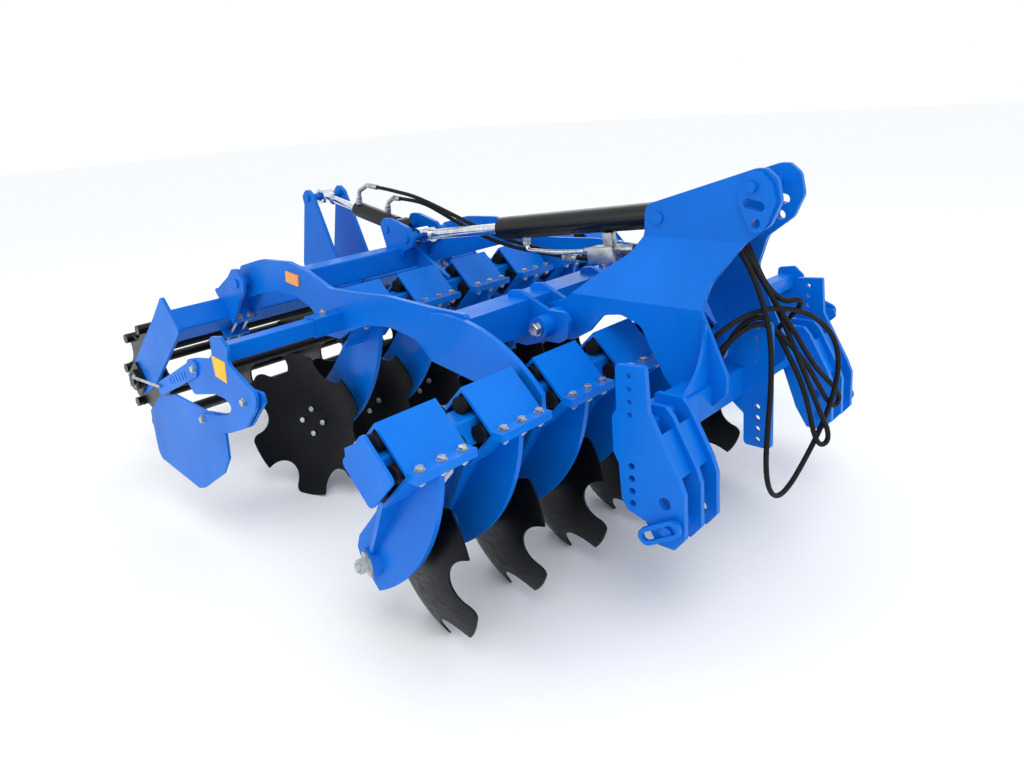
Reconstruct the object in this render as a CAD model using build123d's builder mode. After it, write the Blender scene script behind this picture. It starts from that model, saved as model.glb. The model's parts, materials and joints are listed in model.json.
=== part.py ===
"""Mounted compact disc harrow: two rows of notched discs on rubber-cord arms,
a hydraulic tilting headstock and a cage roller set by a hydraulic depth cylinder.

Frame, in millimetres: +X is the machine's left, -Y is forward (the hitch end),
+Z is up, and the ground under the discs is Z = 0.
"""

import os
from math import atan2, cos, degrees, hypot, radians, sin, sqrt

from build123d import *

# ---------------------------------------------------------------- discs
DISC_D = 510
DISC_T = 5
DISC_DISH = 54            # depth of the dished disc
DISC_FLAT_R = 62          # flat middle that the hub flange meets
NOTCHES = 6
NOTCH_R = 66              # scallops centred on the rim
LOBE_FILLET = 26          # each lobe has one rounded and one sharp corner
DISC_SPIN = (0, 7, 3, 9, 5, 1)    # how far each disc of a row happens to be turned, degrees
DISC_YAW = 17             # cutting angle of each disc, degrees
DISC_TILT = 4             # undercut angle: the open face looks a little upward, degrees
DISCS = 6                 # discs in each row
PITCH = 250               # spacing of the arms along a row

# ---------------------------------------------------------------- rows and their arms
TUBE = 70                 # square tube that the arms hang on
TUBE_WALL = 6
CORD_D = 42               # rubber cords between tube and clamp
CORD_OUT = 12             # how far the cords stand out of each clamp's end
CORD_SEAT = 0.3           # clearance of a cord to tube and clamp
CLAMP_L = 172             # clamp length along the row
CLAMP_T = 8               # clamp sheet
FLANGE_T = 10             # bolted flange of a clamp half
FLANGE_OUT = 122          # flange edge, from the row's axis
FLANGE_BOLT_Y = 103
FLANGE_BOLT_STEP = 61
BOLT_HOLE_R = 6.5
ARM_T = 16                # sickle plate
VERTEX_OFFSET = 80        # disc vertex beside the arm's middle plane, along the disc's axis
BOSS_R = 36
BOSS_L = 44
HUB_R = 45
HUB_L = 48
HUB_FLANGE_R = 60
HUB_FLANGE_T = 10
AXLE_R = 16
RUNNING = 0.05            # radial running clearance of pins, axles and rods
RIB_T = 12

# name, axis y, axis z, side that the discs stand on, hub in the arm's plane from the axis (y),
# and the arm's outline from the axis: front arc, then the heel, as (y, z) pairs
ROWS = (
    ("front", -932, 555, 1, 175,
     ((-100, -FLANGE_T), (-38, -215), (168, -408)),
     ((224, -350), (238, -312), (224, -276), (142, -186), (120, -140), (100, -FLANGE_T))),
    ("rear", -112, 640, -1, 275,
     ((-100, -FLANGE_T), (4, -281), (285, -500)),
     ((342, -432), (356, -396), (342, -360), (198, -224), (126, -140), (100, -FLANGE_T))),
)
RIB_TOP = (24, -84)       # rib on the arm's outer face, from the axis
RIB_OUT = (68, 22)        # how far the rib stands out, at its top and at its foot

# ---------------------------------------------------------------- main frame
SIDE_X = 500              # outer face of the side plates
SIDE_T = 15
FRONT_PLATE_T = 15
PIVOT = (385, 722)        # roller frame pivot (y, z)
PIVOT_R = 17
MID_BEAM = (-670, 675)    # middle cross beam, centre (y, z)
MID_SIZE = 100
REAR_BEAM = (72, 750)     # rear cross beam, centre (y, z)
REAR_SIZE = 80
EAR_X = (122, 222)        # middle planes of the headstock ears
EAR_T = 15
HINGE = (-784, 658)       # headstock hinge (y, z)
HINGE_R = 20
COLLAR_R = 32
COLLAR_L = 40
BRACKET_X = 67            # middle plane of the centre bracket's ears
BRACKET_T = 14
LIFT_EYE = (REAR_BEAM[0] - 81, REAR_BEAM[1] + 78)    # top cylinder's rod pin
DEPTH_EYE = (REAR_BEAM[0] + 27, REAR_BEAM[1] + 106)  # depth cylinder's barrel pin
CYL_PIN_R = 15
CAP_T = 8                 # end caps of the row tubes
CAP_HALF = 62

# ---------------------------------------------------------------- headstock
TOWER_T = 14
TOWER_LOW_X = 174         # outer face, lower part
TOWER_TOP_X = 70          # outer face, upper part
BEND_LOW_Z = 744
BEND_TOP_Z = 900
TOWER_PIN = (-1054, 951)  # top cylinder's barrel pin (y, z)
CROSS_Y = -1268           # front face of the crossbar
CROSS_D = 80
CROSS_H = 80
CROSS_TOP = 555
HITCH_X = (476, 405, 334)  # middle planes of the hitch plates
HITCH_T = 15
LOWER_PIN = (-1332, 319)
LOWER_PIN_R = 14
SPARE_HOLE = (-1322, 382)
SPARE_HOLE_R = 15
TOP_PIN = (-1327, 1040)
TOP_PIN_R = 12.5
TOP_SLOT = (-1330, 996)
TOP_LOW_HOLE = (-1334, 952)
LINK_T = 12
HOLE_STEP = 31
HOLE_COUNT = 4

# ---------------------------------------------------------------- cylinders
TOP_BARREL_R = 37
TOP_BARREL_L = 640
TOP_ROD_R = 18
DEPTH_BARREL_R = 30
DEPTH_BARREL_L = 262
DEPTH_ROD_R = 14
CYL_WALL = 7
EYE_W = 50                # width of a cylinder's eye
EYE_R = 30
EYE_SLACK = 4             # bore of each rod's eye over its pin, where the linkage is opened

# ---------------------------------------------------------------- roller and its frame
ROLLER_FALL = 41          # slope of the roller frame below horizontal, degrees
ROLLER_BEAM_U = 199       # beam centre from the pivot, along the slope
ROLLER_BEAM = 90
ROLLER_BEAM_X = 725
END_T = 12
ROLLER_AXIS = (895, 330)
ROLLER_BAR_R = 19
ROLLER_PCR = 190
ROLLER_BARS = 8
ROLLER_GAP = 10           # bars to the beam's end plates
ROLLER_HALF = ROLLER_BEAM_X - ROLLER_GAP
STARS = 5
STAR_T = 8
STAR_INSET = 25           # outer star from the ends of the bars
STAR_SPAN = ROLLER_HALF - STAR_INSET
SHAFT_R = 20
BEARING_T = 26
LEVER_X = 76
LEVER_T = 14
LEVER_PIN = (572, 957)
LEVER_PIN_R = 14
CLAMP_PLATE_T = 14
CLAMP_HALF_W = 78
CLAMP_HALF_X = 48

# ---------------------------------------------------------------- deflectors
SLEEVE = 60
SLEEVE_L = 100
INNER = 50
INNER_END = 895
SLEEVE_AT = (-45, 15)     # from the row's axis (y, z)
DEFLECTOR_T = 10
PADDLE_T = 8

ORIGIN_Y = 145            # moves the middle of the overall length to Y = 0
GROUND = -20              # where the discs stand, below the datum that all heights are drawn from

os.makedirs("parts", exist_ok=True)

disc_r = DISC_D / 2
row_reach = PITCH * (DISCS - 1)
first_arm = PITCH * (DISCS + 1) / 2
yaw_cos = cos(radians(DISC_YAW))
yaw_sin = sin(radians(DISC_YAW))
tilt_cos = cos(radians(DISC_TILT))
tilt_sin = sin(radians(DISC_TILT))
# height of a hub in its arm's plane, for a disc that stands on the ground
hub_z = GROUND + disc_r * tilt_cos - (VERTEX_OFFSET + DISC_DISH + DISC_T) * tilt_sin


def finish(builder, name):
    """Label a finished piece and write it, with the middle of the length at Y = 0."""
    piece = Pos(0, ORIGIN_Y, -GROUND) * builder.part
    piece.label = name
    export_step(piece, f"parts/{name}.step")


def outline_yz(points, radius, x_from, x_to, mode=Mode.ADD):
    """Plate across X with a filleted outline given as (y, z) points."""
    with BuildSketch(Plane.YZ.offset(x_from)) as face:
        with BuildLine():
            FilletPolyline(*points, radius=radius, close=True)
        make_face()
    return extrude(face.sketch, amount=x_to - x_from, mode=mode)


def box_yz(center, size_y, size_z, x_from, x_to, mode=Mode.ADD):
    """Rectangular bar along X, centred on a (y, z) point."""
    with BuildSketch(Plane.YZ.offset(x_from)) as face:
        with Locations(center):
            Rectangle(size_y, size_z)
    return extrude(face.sketch, amount=x_to - x_from, mode=mode)


def round_yz(center, radius, x_from, x_to, mode=Mode.ADD):
    """Round bar along X, centred on a (y, z) point."""
    with BuildSketch(Plane.YZ.offset(x_from)) as face:
        with Locations(center):
            Circle(radius)
    return extrude(face.sketch, amount=x_to - x_from, mode=mode)


def tube_yz(center, size, wall, x_from, x_to, turn=0):
    """Square tube along X."""
    with BuildSketch(Plane.YZ.offset(x_from)) as face:
        with Locations(Location((center[0], center[1], 0), (0, 0, turn))):
            RectangleRounded(size, size, wall)
            Rectangle(size - 2 * wall, size - 2 * wall, mode=Mode.SUBTRACT)
    return extrude(face.sketch, amount=x_to - x_from)


# ================================================================ rows of discs
corner_in = (TUBE / 2 + CORD_D / 2 + CORD_SEAT) + (CORD_D / 2 + CORD_SEAT) * sqrt(2)
corner_out = corner_in + CLAMP_T * sqrt(2)
cord_at = TUBE / 2 + CORD_D / 2 + CORD_SEAT


def clamp_half(up):
    """Half of the diamond clamp round the cords, with its two bolted flanges."""
    edge = corner_out - FLANGE_T
    with BuildSketch(Plane.YZ.offset(-CLAMP_L / 2)) as half:
        with BuildLine():
            Polyline(
                (-FLANGE_OUT, 0), (-FLANGE_OUT, up * FLANGE_T), (-edge, up * FLANGE_T),
                (0, up * corner_out), (edge, up * FLANGE_T), (FLANGE_OUT, up * FLANGE_T),
                (FLANGE_OUT, 0), (corner_in, 0), (0, up * corner_in), (-corner_in, 0), close=True,
            )
        make_face()
    half_clamp = extrude(half.sketch, amount=CLAMP_L)
    with BuildSketch(Plane.XY.offset(-FLANGE_T * 2)) as bolts:
        for y in (-FLANGE_BOLT_Y, FLANGE_BOLT_Y):
            with Locations((0, y)):
                with GridLocations(FLANGE_BOLT_STEP, 0, 3, 1):
                    Circle(BOLT_HOLE_R)
    extrude(bolts.sketch, amount=FLANGE_T * 4, mode=Mode.SUBTRACT)
    return half_clamp



def is_trailing(corner):
    """True for the corner at the start of a lobe, going round from +X."""
    turn = degrees(atan2(corner.Y, corner.X)) % (360 / NOTCHES)
    return turn > 180 / NOTCHES


with BuildPart() as disc_master:
    # revolved shell with its hub, the disc's axis along +Z, open side up
    dish_radius = ((disc_r - DISC_FLAT_R) ** 2 + DISC_DISH**2) / (2 * DISC_DISH)
    with BuildSketch(Plane.XZ):
        with BuildLine():
            Line((0, 0), (DISC_FLAT_R, 0))
            RadiusArc((DISC_FLAT_R, 0), (disc_r, DISC_DISH), -dish_radius)
            Line((disc_r, DISC_DISH), (disc_r, DISC_DISH + DISC_T))
            RadiusArc((disc_r, DISC_DISH + DISC_T), (DISC_FLAT_R, DISC_T), dish_radius)
            Line((DISC_FLAT_R, DISC_T), (0, DISC_T))
            Line((0, DISC_T), (0, 0))
        make_face()
    revolve(axis=Axis.Z)
    # scalloped outline, lobes rounded on their trailing corner
    with BuildSketch() as outline:
        Circle(disc_r)
        with PolarLocations(disc_r, NOTCHES, start_angle=180 / NOTCHES):
            Circle(NOTCH_R, mode=Mode.SUBTRACT)
        corners = sorted(outline.vertices(), key=lambda corner: atan2(corner.Y, corner.X))
        fillet([corner for corner in corners if is_trailing(corner)], LOBE_FILLET)
    extrude(amount=DISC_DISH * 2, both=True, mode=Mode.INTERSECT)
    with BuildSketch():
        Circle(HUB_FLANGE_R)
    extrude(amount=-HUB_FLANGE_T)
    with BuildSketch(Plane.XY.offset(-HUB_FLANGE_T)):
        Circle(HUB_R)
    extrude(amount=-(HUB_L - HUB_FLANGE_T))
    with BuildSketch(Plane.XY.offset(-HUB_L)):
        Circle(AXLE_R + RUNNING)
    extrude(amount=HUB_L - 4, mode=Mode.SUBTRACT)

for row, axis_y, axis_z, side, hub_y, arc, heel in ROWS:
    arm_xs = [side * (PITCH * k - first_arm) for k in range(DISCS)]
    places = [Location((x, axis_y, axis_z)) for x in arm_xs]
    # the disc's axis, from the arm's plane to the disc's vertex and its open side
    axle_dir = (side * yaw_cos * tilt_cos, -yaw_sin * tilt_cos, tilt_sin)
    up_dir = (-side * yaw_cos * tilt_sin, yaw_sin * tilt_sin, tilt_cos)
    hub = (0, hub_y, hub_z - axis_z)
    vertex = [at + VERTEX_OFFSET * step for at, step in zip(hub, axle_dir)]
    axle_plane = Plane(origin=vertex, x_dir=up_dir, z_dir=axle_dir)

    with BuildPart() as tops_master:
        clamp_half(1)
    with BuildPart() as tops:
        with Locations(places):
            add(tops_master.part)
    finish(tops, f"{row}_clamp_tops")

    with BuildPart() as arm_master:
        clamp_half(-1)
        with BuildSketch(Plane.YZ.offset(-ARM_T / 2)):
            with BuildLine():
                ThreePointArc(*arc)
                Polyline(arc[2], *heel, arc[0])
            make_face()
        extrude(amount=ARM_T)
        # rib on the face away from the disc, tapering to the hub
        foot = (hub_y - 10, hub[2] + BOSS_R)
        run = hypot(foot[0] - RIB_TOP[0], foot[1] - RIB_TOP[1])
        along = ((foot[0] - RIB_TOP[0]) / run, (foot[1] - RIB_TOP[1]) / run)
        rib_plane = Plane(
            origin=(0, *RIB_TOP), x_dir=(0, *along), z_dir=(0, -along[1] * side, along[0] * side)
        )
        with BuildSketch(rib_plane):
            with BuildLine():
                Polyline((0, 0), (0, RIB_OUT[0]), (run, RIB_OUT[1]), (run, 0), close=True)
            make_face()
        extrude(amount=RIB_T / 2, both=True)
        with BuildSketch(axle_plane.offset(-VERTEX_OFFSET - BOSS_L / 2)):
            Circle(BOSS_R)
        extrude(amount=BOSS_L)
        with BuildSketch(axle_plane.offset(-VERTEX_OFFSET - BOSS_L)):
            Circle(AXLE_R + RUNNING)
        extrude(amount=BOSS_L * 2, mode=Mode.SUBTRACT)
        with BuildSketch(Plane.YZ.offset(-CLAMP_L)):
            with Locations(Location((0, 0, 0), (0, 0, 45))):
                Rectangle(corner_in * sqrt(2), corner_in * sqrt(2))
        extrude(amount=CLAMP_L * 2, mode=Mode.SUBTRACT)
    with BuildPart() as arms:
        with Locations(places):
            add(arm_master.part)
    finish(arms, f"{row}_arms")

    with BuildPart() as cords_master:
        cord_half = CLAMP_L / 2 + CORD_OUT
        for cord_y, cord_z in ((cord_at, 0), (0, cord_at), (-cord_at, 0), (0, -cord_at)):
            round_yz((cord_y, cord_z), CORD_D / 2, -cord_half, cord_half)
    with BuildPart() as cords:
        with Locations(places):
            add(cords_master.part)
    finish(cords, f"{row}_rubber_cords")

    with BuildPart() as axle_master:
        nut_face = -VERTEX_OFFSET - BOSS_L / 2
        with BuildSketch(axle_plane.offset(nut_face - 32)):
            Circle(AXLE_R - 4)
        extrude(amount=32)
        with BuildSketch(axle_plane.offset(nut_face - 5)):
            Circle(32)
        extrude(amount=5)
        with BuildSketch(axle_plane.offset(nut_face - 25)):
            RegularPolygon(21, 6)
        extrude(amount=20)
        with BuildSketch(axle_plane.offset(nut_face)):
            Circle(AXLE_R)
        extrude(amount=-nut_face - 6)
        with BuildSketch(axle_plane.offset(-VERTEX_OFFSET + BOSS_L / 2)):
            Circle(28)
        extrude(amount=VERTEX_OFFSET - BOSS_L / 2 - HUB_L - 0.5)
    with BuildPart() as axles:
        with Locations(places):
            add(axle_master.part)
    finish(axles, f"{row}_axles")

    for number, (place, spin) in enumerate(zip(places, DISC_SPIN), start=1):
        with BuildPart() as disc:
            with Locations(place * axle_plane.location * Rot(0, 0, spin)):
                add(disc_master.part)
        finish(disc, f"{row}_disc_{number}")

    # square tube from the inner side plate out past the first arm
    tube_out = -side * (first_arm + CLAMP_L / 2 + CORD_OUT + 14)
    tube_in = side * (SIDE_X if row == "front" else SIDE_X - SIDE_T)
    with BuildPart() as row_tube:
        tube_yz((axis_y, axis_z), TUBE, TUBE_WALL, tube_out, tube_in)
        cap_back = tube_out - side * CAP_T
        with BuildSketch(Plane.YZ.offset(min(tube_out, cap_back))):
            with Locations(Location((axis_y, axis_z, 0), (0, 0, 45))):
                RectangleRounded(CAP_HALF * 2, CAP_HALF * 2, 14)
        extrude(amount=CAP_T)
    finish(row_tube, f"{row}_row_tube")

row_by_name = {row[0]: row for row in ROWS}
front_axis = (row_by_name["front"][1], row_by_name["front"][2])
rear_axis = (row_by_name["rear"][1], row_by_name["rear"][2])

# ================================================================ side plates
# S-shaped plate: lobe at the roller pivot, arch down to the rear row, second arch, middle beam
side_outline = (
    (440, 742), (405, 778), (263, 812), (90, 818), (-20, 795), (-130, 752), (-254, 752),
    (-419, 760), (-606, 750), (-745, 748), (-745, 605), (-690, 590), (-590, 598), (-530, 648),
    (-412, 668), (-300, 656), (-195, 618), (-160, 592), (-65, 592), (-20, 672), (72, 706),
    (200, 708), (300, 690), (360, 668), (425, 680),
)
side_radii = (25, 30, 200, 80, 80, 80, 200, 300, 300, 20, 20, 30, 30, 60, 90, 100, 60, 20, 20, 40, 90, 90, 60, 20, 25)
with BuildPart() as side_plates:
    for side in (-1, 1):
        low = min(side * SIDE_X, side * (SIDE_X - SIDE_T))
        outline_yz(side_outline, side_radii, low, low + SIDE_T)
        round_yz(PIVOT, PIVOT_R + RUNNING, low, low + SIDE_T, mode=Mode.SUBTRACT)
    box_yz(rear_axis, TUBE, TUBE, SIDE_X - SIDE_T, SIDE_X, mode=Mode.SUBTRACT)
finish(side_plates, "side_plates")

# front plates: outside the side plates, from the middle beam down to the front row's tube
with BuildPart() as front_plates:
    for side in (-1, 1):
        low = min(side * SIDE_X, side * (SIDE_X + FRONT_PLATE_T))
        with BuildSketch(Plane.YZ.offset(low)) as face:
            with BuildLine():
                ThreePointArc((-618, 740), (-858, 699), (-1003, 584))
                FilletPolyline(
                    (-1003, 584), (-1000, 508), (-880, 508), (-820, 566), (-606, 602), (-590, 620),
                    (-618, 740), radius=(30, 30, 40, 12, 12),
                )
            make_face()
        extrude(face.sketch, amount=FRONT_PLATE_T)
    box_yz(front_axis, TUBE, TUBE, -SIDE_X - FRONT_PLATE_T, -SIDE_X, mode=Mode.SUBTRACT)
finish(front_plates, "front_plates")

# ================================================================ middle beam and its ears
ear_outline = (
    (-640, 742), (-684, 748), (-790, 702), (-852, 702), (-864, 680), (-857, 634), (-826, 610),
    (-784, 610), (-700, 584), (-640, 590),
)
ear_faces = [(side * x - EAR_T / 2, side * x + EAR_T / 2) for x in EAR_X for side in (-1, 1)]
with BuildPart() as middle_beam:
    box_yz(MID_BEAM, MID_SIZE, MID_SIZE, SIDE_T - SIDE_X, SIDE_X - SIDE_T)
    for low, high in ear_faces:
        outline_yz(ear_outline, 12, low, high)
    for side in (-1, 1):
        ear_face = EAR_X[1] + EAR_T / 2
        low = min(side * ear_face, side * (ear_face + COLLAR_L))
        round_yz(HINGE, COLLAR_R, low, low + COLLAR_L)
    box_yz(MID_BEAM, MID_SIZE - 16, MID_SIZE - 16, -SIDE_X, SIDE_X, mode=Mode.SUBTRACT)
    round_yz(HINGE, HINGE_R + RUNNING, -SIDE_X, SIDE_X, mode=Mode.SUBTRACT)
finish(middle_beam, "middle_beam")

# ================================================================ rear beam, bracket and brace
with BuildPart() as rear_beam:
    tube_yz(REAR_BEAM, REAR_SIZE, 6, SIDE_T - SIDE_X, SIDE_X - SIDE_T)
    beam_front = REAR_BEAM[0] - REAR_SIZE / 2
    tube_top = rear_axis[1] + TUBE / 2
    brace = (
        (beam_front, REAR_BEAM[1] + 34), (beam_front, REAR_BEAM[1] - 36),
        (rear_axis[0] + 30, tube_top), (rear_axis[0] - 24, tube_top), (rear_axis[0] - 24, tube_top + 14),
    )
    outline_yz(brace, 4, -8, 8)
finish(rear_beam, "rear_beam")

beam_top = REAR_BEAM[1] + REAR_SIZE / 2
bracket_outline = (
    (beam_front + REAR_SIZE - 4, beam_top), (DEPTH_EYE[0] + 33, DEPTH_EYE[1] + 12),
    (DEPTH_EYE[0] + 13, DEPTH_EYE[1] + 40), (DEPTH_EYE[0] - 29, DEPTH_EYE[1] + 40),
    (LIFT_EYE[0] - 17, LIFT_EYE[1] + 40), (LIFT_EYE[0] - 39, LIFT_EYE[1] + 2),
    (LIFT_EYE[0] - 29, LIFT_EYE[1] - 28), (LIFT_EYE[0] + 17, LIFT_EYE[1] - 48),
    (beam_front, beam_top - 52), (beam_front, beam_top),
)
with BuildPart() as bracket:
    for side in (-1, 1):
        outline_yz(bracket_outline, (2, 20, 20, 20, 26, 24, 16, 16, 2, 0.5),
                   side * BRACKET_X - BRACKET_T / 2, side * BRACKET_X + BRACKET_T / 2)
    for eye in (LIFT_EYE, DEPTH_EYE):
        round_yz(eye, CYL_PIN_R + RUNNING, -SIDE_X, SIDE_X, mode=Mode.SUBTRACT)
finish(bracket, "centre_bracket")

with BuildPart() as frame_pins:
    pin_half = BRACKET_X + BRACKET_T / 2 + 5
    for eye in (LIFT_EYE, DEPTH_EYE):
        round_yz(eye, CYL_PIN_R, -pin_half, pin_half)
    for side in (-1, 1):
        inner = side * (EAR_X[0] - EAR_T / 2 - 8)
        outer = side * (EAR_X[1] + EAR_T / 2 + COLLAR_L + 4)
        round_yz(HINGE, HINGE_R, *sorted((inner, outer)))
finish(frame_pins, "frame_pins")

# ================================================================ reflectors and deflectors
with BuildPart() as reflectors:
    for side in (-1, 1):
        low = min(side * SIDE_X, side * (SIDE_X + 6))
        with BuildSketch(Plane.YZ.offset(low)):
            with Locations(Location((70, 764, 0), (0, 0, 8))):
                RectangleRounded(72, 38, 3)
        extrude(amount=6)
finish(reflectors, "reflectors")

# side, face that the sleeve is welded to, row axis
DEFLECTORS = ((-1, SIDE_X, rear_axis), (1, SIDE_X + FRONT_PLATE_T, front_axis))
hook_outline = (
    (33, 46), (-27, 55), (-63, 22), (-48, -19), (-133, -60), (-187, -82), (-165, -130), (-93, -200),
    (0, -236), (100, -262), (190, -264), (224, -245), (167, -214), (70, -200), (-5, -181), (-39, -148),
    (-1, -131), (56, -129), (190, -158), (236, -120), (205, -50), (147, -37), (60, -24), (36, -4),
)
hook_radii = (12, 12, 12, 20, 14, 24, 40, 60, 60, 30, 14, 10, 30, 50, 22, 14, 14, 30, 20, 28, 26, 20, 10, 10)
clasp_outline = (
    (-180, -84), (-187, -110), (-93, -200), (0, -236), (100, -262), (190, -264), (224, -245),
    (167, -214), (70, -200), (-5, -181), (-60, -150), (-105, -84),
)
strap_outline = ((128, -50), (146, -92), (430, -212), (446, -176), (420, -160), (166, -44))
STRAP_T = 6
STRAP_PIN = (418, -190)
STRAP_SLOTS = 6
paddle_outline = (
    (581, -300), (575, -444), (558, -468), (299, -502), (261, -490), (109, -398), (59, -335),
    (54, -254), (72, -212), (363, -198), (480, -228),
)
with BuildPart() as sleeves:
    for side, face_x, axis in DEFLECTORS:
        center = (axis[0] + SLEEVE_AT[0], axis[1] + SLEEVE_AT[1])
        ends = sorted((side * face_x, side * (face_x + SLEEVE_L)))
        tube_yz(center, SLEEVE, (SLEEVE - INNER) / 2 - 0.3, *ends)
finish(sleeves, "deflector_sleeves")

with BuildPart() as holders:
    for side, face_x, axis in DEFLECTORS:
        center = (axis[0] + SLEEVE_AT[0], axis[1] + SLEEVE_AT[1])

        def offset(points):
            """Points given from the sleeve's centre, in the drawing's frame."""
            return [(center[0] + y, center[1] + z) for y, z in points]

        outer = INNER_END + DEFLECTOR_T
        inner = INNER_END - PADDLE_T
        tube_yz(center, INNER, 4, *sorted((side * (face_x + 6), side * INNER_END)))
        outline_yz(offset(hook_outline), hook_radii, *sorted((side * INNER_END, side * outer)))
        outline_yz(offset(clasp_outline), 10, *sorted((side * inner, side * (inner - DEFLECTOR_T))))
        outline_yz(offset(strap_outline), 12, *sorted((side * outer, side * (outer + STRAP_T))))
        round_yz(offset([STRAP_PIN])[0], 9, *sorted((side * INNER_END, side * outer)))
        for n in range(STRAP_SLOTS):
            slot_at = offset([(330 - n * 22, -140 + n * 8)])[0]
            with BuildSketch(Plane.YZ.offset(min(side * outer, side * (outer + STRAP_T)))):
                with Locations(Location((*slot_at, 0), (0, 0, 60))):
                    SlotOverall(26, 7)
            extrude(amount=STRAP_T, mode=Mode.SUBTRACT)
finish(holders, "deflector_arms")

with BuildPart() as paddles:
    for side, face_x, axis in DEFLECTORS:
        center = (axis[0] + SLEEVE_AT[0], axis[1] + SLEEVE_AT[1])
        paddle = [(center[0] + y, center[1] + z) for y, z in paddle_outline]
        outline_yz(paddle, 10, *sorted((side * INNER_END, side * (INNER_END - PADDLE_T))))
finish(paddles, "deflector_paddles")

# ================================================================ headstock
bend = degrees(atan2(TOWER_LOW_X - TOWER_TOP_X, BEND_TOP_Z - BEND_LOW_Z))
miter = TOWER_T * (1 - cos(radians(bend))) / sin(radians(bend))
TOWER_HIGH = 1120
TOWER_FOOT = 470
tower_outline = (
    (-728, 606), (-728, 704), (-806, 722), (-905, 802), (-985, 858), (-1012, 905), (-1016, 984),
    (-1330, 1082), (-1356, 1082), (-1384, 1058), (-1394, 1005), (-1368, 948), (-1300, 896),
    (-1242, 800), (-1238, 745), (-1262, 690), (CROSS_Y - 40, CROSS_TOP + 30),
    (CROSS_Y - 38, CROSS_TOP - 20), (CROSS_Y, CROSS_TOP - 56), (CROSS_Y + CROSS_D, CROSS_TOP - 56),
    (-1136, 545), (-1090, 625), (-1062, 682), (-1000, 703), (-940, 694), (-890, 640), (-830, 606),
)
tower_radii = (40, 40, 60, 90, 60, 60, 34, 30, 14, 24, 30, 30, 60, 60, 60, 60, 30, 24, 4, 4, 60, 60, 40, 40, 40, 40, 30)
hinge_boss_x = (EAR_X[0] + EAR_T / 2 + 1, EAR_X[1] - EAR_T / 2 - 1)


def tower(side):
    """Folded side plate of the headstock, with its hinge boss."""
    with BuildSketch(Plane.XZ.offset(600)) as sheet:
        with BuildLine():
            Polyline(
                (side * TOWER_LOW_X, TOWER_FOOT), (side * TOWER_LOW_X, BEND_LOW_Z),
                (side * TOWER_TOP_X, BEND_TOP_Z), (side * TOWER_TOP_X, TOWER_HIGH),
                (side * (TOWER_TOP_X - TOWER_T), TOWER_HIGH),
                (side * (TOWER_TOP_X - TOWER_T), BEND_TOP_Z - miter),
                (side * (TOWER_LOW_X - TOWER_T), BEND_LOW_Z - miter),
                (side * (TOWER_LOW_X - TOWER_T), TOWER_FOOT), close=True,
            )
        make_face()
    extrude(sheet.sketch, amount=900)
    outline_yz(tower_outline, tower_radii, *sorted((0, side * 300)), mode=Mode.INTERSECT)
    round_yz(HINGE, 42, *sorted((side * hinge_boss_x[0], side * hinge_boss_x[1])))
    round_yz(HINGE, HINGE_R + RUNNING, *sorted((side * 100, side * 300)), mode=Mode.SUBTRACT)
    box_yz((CROSS_Y + CROSS_D / 2, CROSS_TOP - CROSS_H / 2), CROSS_D, CROSS_H,
           *sorted((side * 100, side * 300)), mode=Mode.SUBTRACT)
    for center, radius in ((TOWER_PIN, CYL_PIN_R + 2), (TOP_PIN, TOP_PIN_R), (TOP_LOW_HOLE, TOP_PIN_R)):
        slack = 0 if center == TOP_LOW_HOLE else RUNNING
        round_yz(center, radius + slack, *sorted((0, side * 100)), mode=Mode.SUBTRACT)
    link_slot(*sorted((0, side * 100)))


def link_slot(x_from, x_to):
    """Slot for the upper link's free position."""
    with BuildSketch(Plane.YZ.offset(x_from)) as slot:
        with Locations(Location((TOP_SLOT[0], TOP_SLOT[1], 0), (0, 0, 12))):
            SlotOverall(56, 24)
    extrude(slot.sketch, amount=x_to - x_from, mode=Mode.SUBTRACT)


towers = []
for side in (-1, 1):
    with BuildPart() as tower_plate:
        tower(side)
    towers.append(tower_plate.part)

gusset_foot = HITCH_X[2] - HITCH_T / 2
gusset_top = CROSS_TOP + 160
with BuildPart() as tower_plates:
    for plate in towers:
        add(plate)
    for side in (-1, 1):
        with BuildSketch(Plane.XZ.offset(-CROSS_Y - 10)):
            with BuildLine():
                Line((side * TOWER_LOW_X, CROSS_TOP), (side * gusset_foot, CROSS_TOP))
                ThreePointArc((side * gusset_foot, CROSS_TOP), (side * 222, CROSS_TOP + 47), (side * 188, gusset_top))
                Line((side * 188, gusset_top), (side * TOWER_LOW_X, gusset_top))
                Line((side * TOWER_LOW_X, gusset_top), (side * TOWER_LOW_X, CROSS_TOP))
            make_face()
        extrude(amount=-10)
finish(tower_plates, "tower_plates")

link_outline = (
    (-1316, 1076), (-1348, 1076), (-1374, 1050), (-1386, 1005), (-1362, 950), (-1340, 926),
    (-1318, 934), (-1288, 1008), (-1300, 1050),
)
with BuildPart() as link_plates:
    for side in (-1, 1):
        ends = sorted((side * TOWER_TOP_X, side * (TOWER_TOP_X + LINK_T)))
        outline_yz(link_outline, 12, *ends)
        round_yz(TOP_PIN, TOP_PIN_R + RUNNING, *ends, mode=Mode.SUBTRACT)
        round_yz(TOP_LOW_HOLE, TOP_PIN_R, *ends, mode=Mode.SUBTRACT)
        link_slot(*ends)
finish(link_plates, "top_link_plates")

hitch_inner = HITCH_X[0] - HITCH_T / 2
cross_center = (CROSS_Y + CROSS_D / 2, CROSS_TOP - CROSS_H / 2)
with BuildPart() as crossbar:
    with BuildSketch(Plane.YZ.offset(-hitch_inner)):
        with Locations(cross_center):
            RectangleRounded(CROSS_D, CROSS_H, 6)
            Rectangle(CROSS_D - 12, CROSS_H - 12, mode=Mode.SUBTRACT)
    extrude(amount=hitch_inner * 2)
finish(crossbar, "crossbar")

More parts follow.
